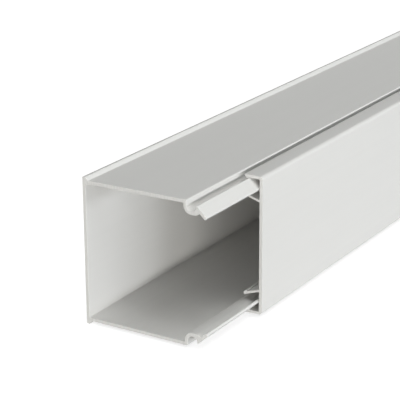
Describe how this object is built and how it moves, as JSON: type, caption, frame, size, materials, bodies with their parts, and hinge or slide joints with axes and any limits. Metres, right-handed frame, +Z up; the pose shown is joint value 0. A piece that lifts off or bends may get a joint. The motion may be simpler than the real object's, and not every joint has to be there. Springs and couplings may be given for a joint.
{
  "type": "cord cover raceway",
  "caption": "Two-piece wall raceway for cables, sold in straight lengths: an extruded U-shaped base with lips at its back and a cover that snaps over its open front.",
  "frame": {"origin": "the middle of the bounding box's foot, under the raceway's mid-length", "axes": "X from the wall face at the back to the cover at the front, Y along the length, Z up; the raceway lies on one of its sides"},
  "size_m": [0.0566, 2, 0.06],
  "materials": {
    "base_pvc": "extruded white PVC",
    "cover_pvc": "extruded white PVC"
  },
  "bodies": {
    "root": {"base_channel": "base_pvc", "snap_cover": "cover_pvc"}
  },
  "joints": []
}
